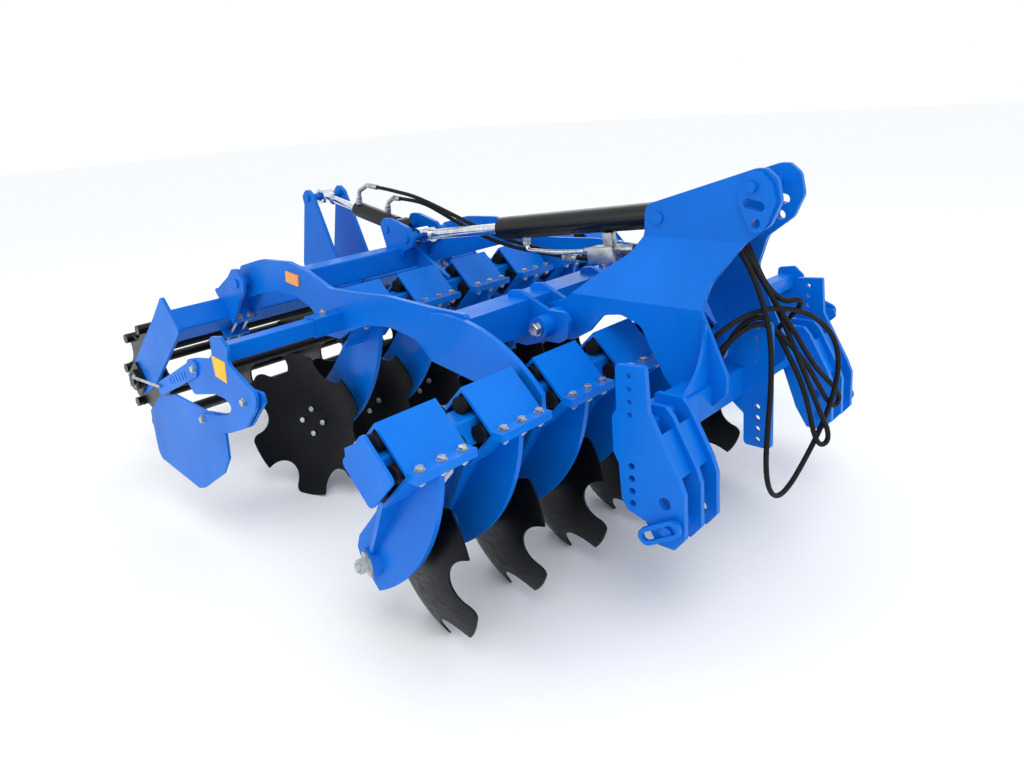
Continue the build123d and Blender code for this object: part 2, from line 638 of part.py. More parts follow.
tall_outline = (
    (-1200, 690), (-1278, 696), (-1284, 590), (-1357, 452), (-1372, 415), (-1372, 308), (-1345, 274),
    (-1300, 274), (-1270, 322), (-1222, 336), (-1206, 360), (-1201, 449), (-1187, 474), (-1186, 562),
    (-1199, 582),
)
short_outline = (
    (-1210, 580), (-1284, 580), (-1302, 560), (-1360, 452), (-1372, 415), (-1372, 308), (-1345, 274),
    (-1300, 274), (-1266, 330), (-1205, 500),
)
web_outline = ((-1302, 535), (-1294, 530), (-1338, 432), (-1348, 438))
tall_hole_y = -1236
MIDDLE_HOLES = -70         # holes of the middle plate, forward of the outer plates' holes
tall_holes = [(tall_hole_y, 669 - HOLE_STEP * n, 6) for n in range(HOLE_COUNT)]
tall_holes += [(tall_hole_y, 450 - HOLE_STEP * n, 8.5) for n in range(HOLE_COUNT)]
with BuildPart() as hitch:
    for side in (-1, 1):
        for n, x in enumerate(HITCH_X):
            ends = sorted((side * (x - HITCH_T / 2), side * (x + HITCH_T / 2)))
            outline_yz(tall_outline if n == 0 else short_outline, 6, *ends)
        outline_yz(web_outline, 1, *sorted((side * HITCH_X[0], side * HITCH_X[2])))
        x_span = sorted((side * 250, side * hitch_inner))
        box_yz(cross_center, CROSS_D, CROSS_H, *x_span, mode=Mode.SUBTRACT)
        everything = sorted((side * 250, side * 550))
        round_yz(LOWER_PIN, LOWER_PIN_R + RUNNING, *everything, mode=Mode.SUBTRACT)
        round_yz(SPARE_HOLE, SPARE_HOLE_R, *everything, mode=Mode.SUBTRACT)
        for y, z, radius in tall_holes:
            round_yz((y, z), radius, *sorted((side * hitch_inner, side * 550)), mode=Mode.SUBTRACT)
    # tall middle plate, slotted over the crossbar
    middle = (-HITCH_T / 2, HITCH_T / 2)
    outline_yz(
        ((CROSS_Y + 8, 685), (-1345, 685), (-1345, 337), (CROSS_Y, 337), (CROSS_Y, 425),
         (CROSS_Y + 60, CROSS_TOP - CROSS_H), (CROSS_Y + 60, CROSS_TOP + 10), (CROSS_Y + 8, CROSS_TOP + 60)),
        (12, 12, 12, 12, 8, 4, 8, 8), *middle)
    box_yz(cross_center, CROSS_D, CROSS_H, *middle, mode=Mode.SUBTRACT)
    for y, z, radius in tall_holes:
        round_yz((y + MIDDLE_HOLES, z), radius, *middle, mode=Mode.SUBTRACT)
finish(hitch, "hitch_plates")

with BuildPart() as headstock_pins:
    half = TOWER_TOP_X + 6
    round_yz(TOWER_PIN, CYL_PIN_R + 2 - RUNNING, -half, half)
    half = TOWER_TOP_X + LINK_T + 14
    round_yz(TOP_PIN, TOP_PIN_R, -half, half)
finish(headstock_pins, "headstock_pins")

with BuildPart() as lower_pins:
    for side in (-1, 1):
        outer = HITCH_X[0] + HITCH_T / 2
        inner = HITCH_X[1] - HITCH_T / 2 - 8
        round_yz(LOWER_PIN, LOWER_PIN_R, *sorted((side * (outer + 14), side * inner)))
        round_yz(LOWER_PIN, 24, *sorted((side * (outer + 1), side * (outer + 8))))
        with BuildSketch(Plane.YZ.offset(min(side * (outer + 8), side * (outer + 20)))):
            with Locations(Location((LOWER_PIN[0] + 16, LOWER_PIN[1] - 4, 0), (0, 0, -30))):
                SlotOverall(120, 42)
                SlotOverall(100, 22, mode=Mode.SUBTRACT)
        extrude(amount=12)
finish(lower_pins, "lower_link_pins")

# ================================================================ cylinders


def cylinder(name, barrel_pin, rod_pin, pin_r, barrel_r, barrel_l, rod_r):
    """Hydraulic cylinder between two (y, z) pins: a barrel node and a rod node."""
    reach = hypot(rod_pin[0] - barrel_pin[0], rod_pin[1] - barrel_pin[1])
    along = ((rod_pin[0] - barrel_pin[0]) / reach, (rod_pin[1] - barrel_pin[1]) / reach)
    axis = Plane(origin=(0, *barrel_pin), x_dir=(1, 0, 0), z_dir=(0, *along))
    with BuildPart() as barrel:
        round_yz(barrel_pin, EYE_R, -EYE_W / 2, EYE_W / 2)
        with BuildSketch(axis.offset(EYE_R - 8)):
            Circle(barrel_r)
        extrude(amount=barrel_l - EYE_R + 8)
        with BuildSketch(axis.offset(EYE_R + 12)):
            Circle(barrel_r - CYL_WALL)
        extrude(amount=barrel_l - EYE_R - 52, mode=Mode.SUBTRACT)
        with BuildSketch(axis.offset(barrel_l / 2)):
            Circle(rod_r + RUNNING)
        extrude(amount=barrel_l, mode=Mode.SUBTRACT)
        round_yz(barrel_pin, pin_r + RUNNING, -EYE_W, EYE_W, mode=Mode.SUBTRACT)
    finish(barrel, f"{name}_barrel")
    with BuildPart() as rod:
        round_yz(rod_pin, EYE_R, -EYE_W / 2, EYE_W / 2)
        with BuildSketch(axis.offset(110)):
            Circle(rod_r)
        extrude(amount=reach - 110)
        with BuildSketch(axis.offset(reach - EYE_R - 34)):
            Circle(rod_r + 8)
        extrude(amount=34)
        round_yz(rod_pin, CYL_PIN_R + EYE_SLACK, -EYE_W, EYE_W, mode=Mode.SUBTRACT)
    finish(rod, f"{name}_rod")


cylinder("top_cylinder", TOWER_PIN, LIFT_EYE, CYL_PIN_R + 2 - RUNNING, TOP_BARREL_R, TOP_BARREL_L, TOP_ROD_R)
cylinder("depth_cylinder", DEPTH_EYE, LEVER_PIN, CYL_PIN_R, DEPTH_BARREL_R, DEPTH_BARREL_L, DEPTH_ROD_R)

# ================================================================ roller frame, drawn along its slope
slope = Plane(
    origin=(0, *PIVOT), x_dir=(0, cos(radians(ROLLER_FALL)), -sin(radians(ROLLER_FALL))), z_dir=(1, 0, 0)
)


def slope_point(point):
    """A (y, z) point as distances from the pivot, along and across the slope."""
    local = slope.to_local_coords(Vector(0, *point))
    return (local.X, local.Y)


def outline_slope(points, radius, x_from, x_to, mode=Mode.ADD):
    """Plate across X with a filleted outline given along and across the slope."""
    with BuildSketch(slope.offset(x_from)) as face:
        with BuildLine():
            FilletPolyline(*points, radius=radius, close=True)
        make_face()
    return extrude(face.sketch, amount=x_to - x_from, mode=mode)


half_beam = ROLLER_BEAM / 2
axis_u, axis_w = slope_point(ROLLER_AXIS)
end_outline = (
    (148, -54), (152, 102), (300, 96), (axis_u, axis_w + 62), (axis_u + 58, axis_w + 40),
    (axis_u + 62, axis_w - 40), (axis_u, axis_w - 66), (540, -54),
)
with BuildPart() as roller_beam:
    with BuildSketch(slope.offset(-ROLLER_BEAM_X)):
        with Locations((ROLLER_BEAM_U, 0)):
            RectangleRounded(ROLLER_BEAM, ROLLER_BEAM, 8)
            Rectangle(ROLLER_BEAM - 12, ROLLER_BEAM - 12, mode=Mode.SUBTRACT)
    extrude(amount=ROLLER_BEAM_X * 2)
    for side in (-1, 1):
        ends = sorted((side * ROLLER_BEAM_X, side * (ROLLER_BEAM_X + END_T)))
        outline_slope(end_outline, 14, *ends)
        round_yz(ROLLER_AXIS, SHAFT_R + 6, *ends, mode=Mode.SUBTRACT)
finish(roller_beam, "roller_beam")

with BuildPart() as bearings:
    for side in (-1, 1):
        plate_x = ROLLER_BEAM_X + END_T
        with BuildSketch(slope.offset(min(side * plate_x, side * (plate_x + 12)))):
            with Locations((axis_u, axis_w)):
                RectangleRounded(108, 108, 16)
        extrude(amount=12)
        round_yz(ROLLER_AXIS, 40, *sorted((side * plate_x, side * (plate_x + BEARING_T))))
        round_yz(ROLLER_AXIS, SHAFT_R + RUNNING, *sorted((side * 700, side * 800)), mode=Mode.SUBTRACT)
finish(bearings, "roller_bearings")

ear_slope = (
    (-46, -30), (-46, 30), (-20, 50), (30, 50), (ROLLER_BEAM_U - half_beam, 74),
    (ROLLER_BEAM_U - half_beam, -74), (30, -50), (-20, -50),
)
side_mid = SIDE_X - SIDE_T / 2
with BuildPart() as pivots:
    for side in (-1, 1):
        x_low = side * side_mid - CLAMP_HALF_X
        for offset in (-CLAMP_HALF_X, CLAMP_HALF_X - 12):
            ear_x = side * side_mid + offset
            outline_slope(ear_slope, 14, ear_x, ear_x + 12)
        near = ROLLER_BEAM_U - half_beam
        far = ROLLER_BEAM_U + half_beam
        for u_from in (near - CLAMP_PLATE_T, far):
            outline_slope(
                ((u_from, -CLAMP_HALF_W), (u_from, CLAMP_HALF_W), (u_from + CLAMP_PLATE_T, CLAMP_HALF_W),
                 (u_from + CLAMP_PLATE_T, -CLAMP_HALF_W)), 2, x_low, x_low + 2 * CLAMP_HALF_X)
        round_yz(PIVOT, PIVOT_R, x_low - 6, x_low + 2 * CLAMP_HALF_X + 6)
finish(pivots, "roller_pivot_clamps")

pin_u, pin_w = slope_point(LEVER_PIN)
beam_top_w = half_beam
lever_outline = (
    (pin_u - 34, pin_w - 14), (pin_u - 24, pin_w + 30), (pin_u + 24, pin_w + 30), (pin_u + 38, pin_w),
    (240, 150), (250, 60), (ROLLER_BEAM_U + half_beam, half_beam), (ROLLER_BEAM_U - half_beam, half_beam),
    (ROLLER_BEAM_U - half_beam, -half_beam), (120, -40), (34, 24),
)
with BuildPart() as lever:
    for side in (-1, 1):
        ends = sorted((side * (LEVER_X - LEVER_T / 2), side * (LEVER_X + LEVER_T / 2)))
        outline_slope(lever_outline, (16, 22, 22, 16, 30, 10, 1, 1, 1, 10, 20), *ends)
    half = LEVER_X + LEVER_T / 2 + 6
    round_yz(LEVER_PIN, LEVER_PIN_R, -half, half)
finish(lever, "depth_lever")

# ================================================================ cage roller
with BuildPart() as roller:
    for side in (-1, 1):
        shaft_end = ROLLER_BEAM_X + END_T + BEARING_T + 6
        round_yz(ROLLER_AXIS, SHAFT_R, *sorted((side * (STAR_SPAN - 20), side * shaft_end)))
    for n in range(STARS):
        x = -STAR_SPAN + n * STAR_SPAN * 2 / (STARS - 1)
        with BuildSketch(Plane.YZ.offset(x - STAR_T / 2)):
            with Locations(ROLLER_AXIS):
                Circle(ROLLER_PCR + 6)
                with PolarLocations(ROLLER_PCR + 26, ROLLER_BARS, start_angle=22.5):
                    Circle(62, mode=Mode.SUBTRACT)
        extrude(amount=STAR_T)
    with BuildSketch(Plane.YZ.offset(-ROLLER_HALF)):
        with Locations(ROLLER_AXIS):
            with PolarLocations(ROLLER_PCR, ROLLER_BARS):
                Circle(ROLLER_BAR_R)
    extrude(amount=ROLLER_HALF * 2)
finish(roller, "cage_roller")
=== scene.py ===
"""Looks of the mounted compact disc harrow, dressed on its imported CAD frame.

Metres, in the CAD's own frame: +X is the machine's left, -Y is forward, +Z is up,
and the discs stand on Z = 0.
"""

import json
import math

import bmesh
import bpy
from mathutils import Matrix, Vector

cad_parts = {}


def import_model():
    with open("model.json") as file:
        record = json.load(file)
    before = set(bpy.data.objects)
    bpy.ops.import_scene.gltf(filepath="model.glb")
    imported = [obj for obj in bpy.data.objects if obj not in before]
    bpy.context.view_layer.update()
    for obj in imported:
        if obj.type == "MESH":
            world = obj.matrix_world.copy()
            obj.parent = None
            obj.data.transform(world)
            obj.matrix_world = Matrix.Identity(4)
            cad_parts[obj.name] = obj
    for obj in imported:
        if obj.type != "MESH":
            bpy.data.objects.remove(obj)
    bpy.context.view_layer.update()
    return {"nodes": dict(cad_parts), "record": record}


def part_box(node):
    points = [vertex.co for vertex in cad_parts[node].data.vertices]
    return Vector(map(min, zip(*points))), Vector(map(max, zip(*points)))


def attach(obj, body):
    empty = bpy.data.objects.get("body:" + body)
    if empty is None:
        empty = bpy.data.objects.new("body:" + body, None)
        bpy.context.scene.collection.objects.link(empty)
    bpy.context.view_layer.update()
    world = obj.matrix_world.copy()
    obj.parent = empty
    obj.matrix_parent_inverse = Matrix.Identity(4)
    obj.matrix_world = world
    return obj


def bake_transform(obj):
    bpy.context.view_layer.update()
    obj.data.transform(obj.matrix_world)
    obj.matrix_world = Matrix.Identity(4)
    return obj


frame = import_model()

# places that the CAD also uses, in millimetres from the same datum
ORIGIN_Y = 145
ORIGIN_Z = 20
ROWS = {
    # name: axis y, axis z, side the discs stand on, hub in the arm's plane from the axis (y)
    "front": (-932, 555, 1, 175),
    "rear": (-112, 640, -1, 275),
}
PITCH = 250
DISCS = 6
FIRST_ARM = PITCH * (DISCS + 1) / 2
DISC_YAW = math.radians(17)
DISC_TILT = math.radians(4)
DISC_R = 255
DISC_T = 5
DISC_DISH = 54
VERTEX_OFFSET = 80
FLANGE_T = 10
FLANGE_BOLT_Y = 103
FLANGE_BOLT_STEP = 61
FLANGE_BOLT = 12
MM = 0.001


def at(x, y, z):
    """Point in the row frame, in metres, from the drawing's millimetres."""
    return Vector((x, y + ORIGIN_Y, z + ORIGIN_Z)) * MM

# ---------------------------------------------------------------- materials


def linear(red, green, blue):
    """sRGB colour in 0..255 as linear RGBA."""
    def one(channel):
        value = channel / 255
        if value <= 0.04045:
            return value / 12.92
        return ((value + 0.055) / 1.055) ** 2.4
    return (one(red), one(green), one(blue), 1.0)


class Nodes:
    """Short hand for building a material's node tree."""

    def __init__(self, name):
        self.material = bpy.data.materials.new(name)
        self.material.use_nodes = True
        self.tree = self.material.node_tree
        self.tree.nodes.clear()
        self.out = self.tree.nodes.new("ShaderNodeOutputMaterial")
        self.shader = self.tree.nodes.new("ShaderNodeBsdfPrincipled")
        self.link(self.shader.outputs["BSDF"], self.out.inputs["Surface"])
        self.coords = self.tree.nodes.new("ShaderNodeTexCoord").outputs["Object"]

    def link(self, source, target):
        self.tree.links.new(source, target)

    def set(self, **values):
        """Sets sockets of the shader; underscores in a name stand for spaces."""
        for name, value in values.items():
            self.shader.inputs[name.replace("_", " ")].default_value = value

    def noise(self, scale, detail=2.0, stretch=None):
        """Noise from 0 to 1; stretch is a scale along each axis."""
        node = self.tree.nodes.new("ShaderNodeTexNoise")
        node.inputs["Scale"].default_value = scale
        node.inputs["Detail"].default_value = detail
        source = self.coords
        if stretch:
            mapping = self.tree.nodes.new("ShaderNodeMapping")
            mapping.inputs["Scale"].default_value = stretch
            self.link(source, mapping.inputs["Vector"])
            source = mapping.outputs["Vector"]
        self.link(source, node.inputs["Vector"])
        return node.outputs["Fac"]

    def ramp(self, source, *stops):
        """Colour or grey ramp: stops are (position, colour or grey)."""
        node = self.tree.nodes.new("ShaderNodeValToRGB")
        elements = node.color_ramp.elements
        while len(elements) < len(stops):
            elements.new(0.5)
        for element, (position, color) in zip(elements, stops):
            element.position = position
            if isinstance(color, (int, float)):
                color = (color, color, color, 1)
            element.color = color
        self.link(source, node.inputs["Fac"])
        return node.outputs["Color"]

    def bump(self, *layers):
        """Chains bump layers: (height socket, strength, distance)."""
        normal = None
        for height, strength, distance in layers:
            node = self.tree.nodes.new("ShaderNodeBump")
            node.inputs["Strength"].default_value = strength
            node.inputs["Distance"].default_value = distance
            self.link(height, node.inputs["Height"])
            if normal:
                self.link(normal, node.inputs["Normal"])
            normal = node.outputs["Normal"]
        self.link(normal, self.shader.inputs["Normal"])

    def color(self, socket):
        self.link(socket, self.shader.inputs["Base Color"])

    def roughness(self, socket):
        self.link(socket, self.shader.inputs["Roughness"])


def enamel(name, base, dark, light, rough=0.3):
    """Sprayed enamel: orange peel, slight cloudiness and a thin film of dust."""
    nodes = Nodes(name)
    clouds = nodes.noise(2.3, 4)
    tone = nodes.ramp(clouds, (0.3, dark), (0.5, base), (0.72, light))
    nodes.color(tone)
    smear = nodes.noise(9, 5, (1, 1, 0.35))
    nodes.roughness(nodes.ramp(smear, (0.3, rough - 0.05), (0.7, rough + 0.12)))
    peel = nodes.noise(420, 1)
    dents = nodes.noise(26, 2)
    nodes.bump((dents, 0.06, 0.004), (peel, 0.05, 0.0008))
    nodes.set(Coat_Weight=0.06, Coat_Roughness=0.08, Specular_IOR_Level=0.14)
    return nodes.material


def disc_steel():
    """Rolled boron steel with a thin dark coating and faint radial sweep marks."""
    nodes = Nodes("disc_coating")
    clouds = nodes.noise(7, 5)
    tone = nodes.ramp(
        clouds, (0.3, linear(2, 4, 8)), (0.55, linear(5, 7, 12)), (0.8, linear(11, 13, 17)),
    )
    nodes.color(tone)
    streaks = nodes.noise(30, 3, (1, 1, 4))
    nodes.roughness(nodes.ramp(streaks, (0.3, 0.28), (0.75, 0.5)))
    nodes.bump((nodes.noise(40, 3), 0.08, 0.003), (nodes.noise(380, 2), 0.06, 0.0006))
    nodes.set(Coat_Weight=0.03, Coat_Roughness=0.2, Specular_IOR_Level=0.12)
    return nodes.material


def gloss(name, low, high, rough):
    """Sprayed or printed finish with a fine texture, from a low to a high tone."""
    nodes = Nodes(name)
    tone = nodes.ramp(nodes.noise(6, 4), (0.3, low), (0.75, high))
    nodes.color(tone)
    nodes.roughness(nodes.ramp(nodes.noise(17, 3), (0.3, rough), (0.75, rough + 0.16)))
    nodes.bump((nodes.noise(300, 2), 0.07, 0.0008))
    nodes.set(Coat_Weight=0.12, Coat_Roughness=0.12, Specular_IOR_Level=0.3)
    return nodes.material


def metal(name, low, high, rough):
    """Bare or plated metal, finely mottled."""
    nodes = Nodes(name)
    nodes.color(nodes.ramp(nodes.noise(34, 4), (0.3, low), (0.7, high)))
    nodes.roughness(nodes.ramp(nodes.noise(90, 3), (0.3, rough - 0.06), (0.7, rough + 0.1)))
    nodes.bump((nodes.noise(500, 1), 0.05, 0.0004))
    nodes.set(Metallic=1.0)
    return nodes.material


def rubber(name, low, high, rough=0.6):
    """Moulded rubber with a fine grain."""
    nodes = Nodes(name)
    nodes.color(nodes.ramp(nodes.noise(12, 4), (0.35, low), (0.75, high)))
    nodes.roughness(nodes.ramp(nodes.noise(50, 3), (0.3, rough), (0.8, rough + 0.15)))
    nodes.set(Specular_IOR_Level=0.25)
    nodes.bump((nodes.noise(260, 2), 0.12, 0.0008))
    return nodes.material


def reflector_plastic():
    """Orange reflector: small cells under clear plastic."""
    nodes = Nodes("reflector_prisms")
    cells = nodes.tree.nodes.new("ShaderNodeTexVoronoi")
    cells.inputs["Scale"].default_value = 190
    nodes.link(nodes.coords, cells.inputs["Vector"])
    distance = cells.outputs["Distance"]
    nodes.color(nodes.ramp(distance, (0.0, linear(214, 110, 12)), (0.6, linear(240, 150, 40))))
    nodes.bump((distance, 0.4, 0.001))
    nodes.set(Roughness=0.22, Coat_Weight=0.8, Coat_Roughness=0.05)
    return nodes.material


MATERIALS = {
    "paint": enamel("blue_enamel", linear(1, 107, 208), linear(0, 98, 193), linear(4, 117, 222)),
    "disc": disc_steel(),
    "black": gloss("black_enamel", linear(4, 5, 8), linear(10, 11, 15), 0.24),
    "chrome": metal("hard_chrome", linear(196, 202, 210), linear(232, 236, 240), 0.14),
    "zinc": metal("zinc_plating", linear(150, 154, 160), linear(205, 206, 204), 0.34),
    "cord_rubber": rubber("cord_rubber", linear(6, 8, 12), linear(14, 16, 21)),
    "reflector": reflector_plastic(),
    "yellow_film": gloss("yellow_film", linear(232, 178, 20), linear(240, 190, 30), 0.35),
}
SLOT_MATERIAL = {
    "frame_paint": "paint", "dark_paint": "black", "disc_steel": "disc", "zinc_steel": "zinc",
    "rod_chrome": "chrome", "cord_rubber": "cord_rubber", "reflector_orange": "reflector",
}
for part in frame["record"]["subparts"]:
    node = frame["nodes"][part["node"]]
    finish = MATERIALS[SLOT_MATERIAL[part["material_slot"]]]
    node.data.materials.clear()
    node.data.materials.append(finish)

# ---------------------------------------------------------------- turned and hexagonal pieces


class Shapes:
    """Collects small solids in millimetres and makes them one piece on a body."""

    def __init__(self):
        self.mesh = bmesh.new()

    def lathe(self, start, axis, profile, sides=24):
        """Closed solid of revolution: profile is (radius, distance along the axis) pairs."""
        axis = Vector(axis).normalized()
        across = axis.orthogonal().normalized()
        beside = axis.cross(across)
        start = Vector(start)
        rings = []
        for radius, along in profile:
            ring = []
            for n in range(sides):
                turn = 2 * math.pi * n / sides
                spot = start + axis * along + (across * math.cos(turn) + beside * math.sin(turn)) * radius
                ring.append(self.mesh.verts.new(spot))
            rings.append(ring)
        for low, high in zip(rings, rings[1:]):
            for n in range(sides):
                m = (n + 1) % sides
                self.mesh.faces.new((low[n], low[m], high[m], high[n]))
        self.mesh.faces.new(tuple(reversed(rings[0])))
        self.mesh.faces.new(rings[-1])

    def rod(self, start, end, radius, sides=24):
        """Round bar with a small chamfer at both ends."""
        axis = Vector(end) - Vector(start)
        edge = min(radius * 0.12, 1.2)
        self.lathe(start, axis, (
            (radius - edge, 0), (radius, edge), (radius, axis.length - edge), (radius - edge, axis.length),
        ), sides)

    def nut(self, start, axis, across_flats, height):
        """Hexagon with chamfered corners."""
        corner = across_flats / math.sqrt(3)
        self.lathe(start, axis, (
            (corner * 0.93, 0), (corner, height * 0.12), (corner, height * 0.86), (corner * 0.9, height),
        ), 6)

    def bolt(self, start, axis, size, washer=True):
        """Hexagon head on a washer; size is the thread's diameter."""
        axis = Vector(axis).normalized()
        start = Vector(start)
        if washer:
            self.lathe(start, axis, ((size * 1.05, 0), (size * 1.05, size * 0.16)), 28)
            start = start + axis * size * 0.16
        self.nut(start, axis, size * 1.55, size * 0.64)

    def nut_and_end(self, start, axis, size):
        """Washer, nut and the end of the thread."""
        axis = Vector(axis).normalized()
        start = Vector(start)
        self.bolt(start, axis, size)
        tip = start + axis * size * 0.8
        self.lathe(tip, axis, ((size * 0.5, 0), (size * 0.5, size * 0.3), (size * 0.42, size * 0.4)), 20)

    def plate(self, outline, x_from, x_to, edge=0.6):
        """Plate across X from (y, z) corners, with chamfered edges."""
        low = [self.mesh.verts.new((x_from, y, z)) for y, z in outline]
        high = [self.mesh.verts.new((x_to, y, z)) for y, z in outline]
        self.mesh.faces.new(low)
        self.mesh.faces.new(tuple(reversed(high)))
        for n in range(len(low)):
            m = (n + 1) % len(low)
            self.mesh.faces.new((low[m], low[n], high[n], high[m]))
        edges = list({e for v in low + high for e in v.link_edges})
        bmesh.ops.bevel(self.mesh, geom=edges, offset=edge, segments=2, profile=0.5, affect="EDGES")

    def bead(self, points, radius=3.2):
        """Weld bead: a chain of overlapping flat ripples between points."""
        step = radius * 0.75
        for start, end in zip(points, points[1:]):
            start, end = Vector(start), Vector(end)
            run = end - start
            count = max(2, int(run.length / step))
            for n in range(count):
                spot = start + run * ((n + 0.5) / count)
                self.lathe(spot - run.normalized() * step * 0.7, run, (
                    (radius * 0.55, 0), (radius, step * 0.7), (radius * 0.5, step * 1.4),
                ), 8)

    def finish(self, name, body, material, slot, smooth=30):
        """Makes the object, in the row frame, and sets it on its body."""
        bmesh.ops.recalc_face_normals(self.mesh, faces=self.mesh.faces)
        mesh = bpy.data.meshes.new(name)
        self.mesh.to_mesh(mesh)
        self.mesh.free()
        mesh.transform(Matrix.Translation(at(0, 0, 0)) @ Matrix.Scale(MM, 4))
        mesh.shade_smooth()
        mesh.set_sharp_from_angle(angle=math.radians(smooth))
        mesh.materials.append(MATERIALS[material])
        piece = bpy.data.objects.new(name, mesh)
        bpy.context.collection.objects.link(piece)
        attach(piece, body)
        return piece


DOWN = Vector((0, 0, -1))
UP = Vector((0, 0, 1))

# ---------------------------------------------------------------- bolts of the rows
for row, (axis_y, axis_z, side, hub_y) in ROWS.items():
    heads = Shapes()
    for k in range(DISCS):
        arm_x = side * (PITCH * k - FIRST_ARM)
        for across in (-FLANGE_BOLT_Y, FLANGE_BOLT_Y):
            for n in (-1, 0, 1):
                x = arm_x + n * FLANGE_BOLT_STEP
                heads.bolt((x, axis_y + across, axis_z + FLANGE_T), UP, FLANGE_BOLT)
                heads.nut_and_end((x, axis_y + across, axis_z - FLANGE_T), DOWN, FLANGE_BOLT)
    heads.finish(f"{row}_clamp_bolts", "frame", "zinc", "zinc_steel")

# ---------------------------------------------------------------- bolts that hold the discs
DISC_BOLTS = 4
DISC_BOLT_PCR = 45
DISC_BOLT = 12
DISC_NUT = 10
HUB_FLANGE_T = 10
rim_offset = VERTEX_OFFSET + DISC_DISH + DISC_T
hub_z = -ORIGIN_Z + DISC_R * math.cos(DISC_TILT) - rim_offset * math.sin(DISC_TILT)
for row, (axis_y, axis_z, side, hub_y) in ROWS.items():
    flat = Vector((side * math.cos(DISC_YAW), -math.sin(DISC_YAW), 0))
    axle = flat * math.cos(DISC_TILT) + UP * math.sin(DISC_TILT)
    across = axle.orthogonal().normalized()
    third = axle.cross(across)
    for k in range(DISCS):
        hub = Vector((side * (PITCH * k - FIRST_ARM), axis_y + hub_y, hub_z))
        vertex = hub + axle * VERTEX_OFFSET
        bolts = Shapes()
        for n in range(DISC_BOLTS):
            turn = math.pi * (2 * n + 1) / DISC_BOLTS
            spot = vertex + (across * math.cos(turn) + third * math.sin(turn)) * DISC_BOLT_PCR
            bolts.bolt(spot + axle * DISC_T, axle, DISC_BOLT, washer=False)
            bolts.nut_and_end(spot - axle * HUB_FLANGE_T, -axle, DISC_NUT)
        bolts.finish(f"{row}_disc_bolts_{k + 1}", f"{row}_wheel_{k + 1}", "zinc", "zinc_steel")

# ---------------------------------------------------------------- bolts of frame and roller
PIVOT = Vector((0, 385, 722))
FALL = math.radians(41)
ALONG = Vector((0, math.cos(FALL), -math.sin(FALL)))
ACROSS = Vector((0, math.sin(FALL), math.cos(FALL)))
RIGHT = Vector((1, 0, 0))
SIDE_MID = 492.5              # middle of a side plate
CLAMP_PLATES = (140, 258)     # outer faces of a pivot clamp's two plates, along the slope
CLAMP_BOLTS = (22, 62)        # from the clamp's middle, along X and across the slope
CLAMP_BOLT = 14
CLAMP_STUD_R = 6.5
CLAMP_STUD_OUT = 30
ROLLER_AXIS = Vector((0, 895, 330))
BEARING_FACE = 763
BEARING_PCR = 29
BEARING_BOLTS = 4
BEARING_BOLT = 9
HINGE = Vector((0, -784, 658))
HINGE_BOLT = 20
SLEEVE_AT = (-45, 15)         # deflector's sleeve from the row's axis (y, z)
SLEEVE_BOLT = (550, 30)       # x, and height of the sleeve's top over its middle
HOOK_FACE = 905
STRAP_FACE = 911
HOOK_BOLTS = (
    # y and z from the sleeve's middle, and the face that the head lies on
    (154, -69, STRAP_FACE), (-110, -118, HOOK_FACE), (164, -231, HOOK_FACE),
)
HOOK_BOLT = 12
HANDLE = ((411, -175), (620, -183))
HANDLE_X = 916
HANDLE_R = 4.5
FILM_T = 0.8

clamps = Shapes()
for side in (-1, 1):
    outward = RIGHT * side
    for x_step in (-1, 1):
        for step in (-1, 1):
            x = side * SIDE_MID + x_step * CLAMP_BOLTS[0]
            foot = PIVOT + RIGHT * x + ACROSS * step * CLAMP_BOLTS[1]
            near, far = (foot + ALONG * distance for distance in CLAMP_PLATES)
            clamps.bolt(near, -ALONG, CLAMP_BOLT)
            clamps.rod(near, far + ALONG * CLAMP_STUD_OUT, CLAMP_STUD_R)
            clamps.bolt(far, ALONG, CLAMP_BOLT)
    for n in range(BEARING_BOLTS):
        turn = math.pi * (2 * n + 1) / BEARING_BOLTS
        ring = Vector((0, math.cos(turn), math.sin(turn))) * BEARING_PCR
        clamps.bolt(ROLLER_AXIS + ring + outward * BEARING_FACE, outward, BEARING_BOLT)
clamps.finish("roller_frame_bolts", "roller_frame", "zinc", "zinc_steel")

frame_bolts = Shapes()
pin_low, pin_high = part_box("frame_pins")
for side, row, pin_end in ((-1, "rear", -pin_low.x), (1, "front", pin_high.x)):
    outward = RIGHT * side
    middle = Vector((0, ROWS[row][0] + SLEEVE_AT[0], ROWS[row][1] + SLEEVE_AT[1]))
    for y, z, face in HOOK_BOLTS:
        frame_bolts.bolt(middle + Vector((side * face, y, z)), outward, HOOK_BOLT)
    frame_bolts.rod(*[middle + Vector((side * HANDLE_X, y, z)) for y, z in HANDLE], HANDLE_R)
    frame_bolts.nut_and_end(middle + Vector((side * SLEEVE_BOLT[0], 0, SLEEVE_BOLT[1])), UP, HOOK_BOLT)
    frame_bolts.bolt(HINGE + outward * pin_end / MM, outward, HINGE_BOLT)
frame_bolts.finish("frame_bolts", "frame", "zinc", "zinc_steel")

# blank plate on the near hook, in the drawing's (y, z)
yellow_plate = Shapes()
yellow_plate.plate(
    ((-118, 647), (-193, 638), (-187, 575), (-124, 585)), -HOOK_FACE - FILM_T, -HOOK_FACE, 0.2,
)
yellow_plate.finish("yellow_plate", "frame", "yellow_film", None)

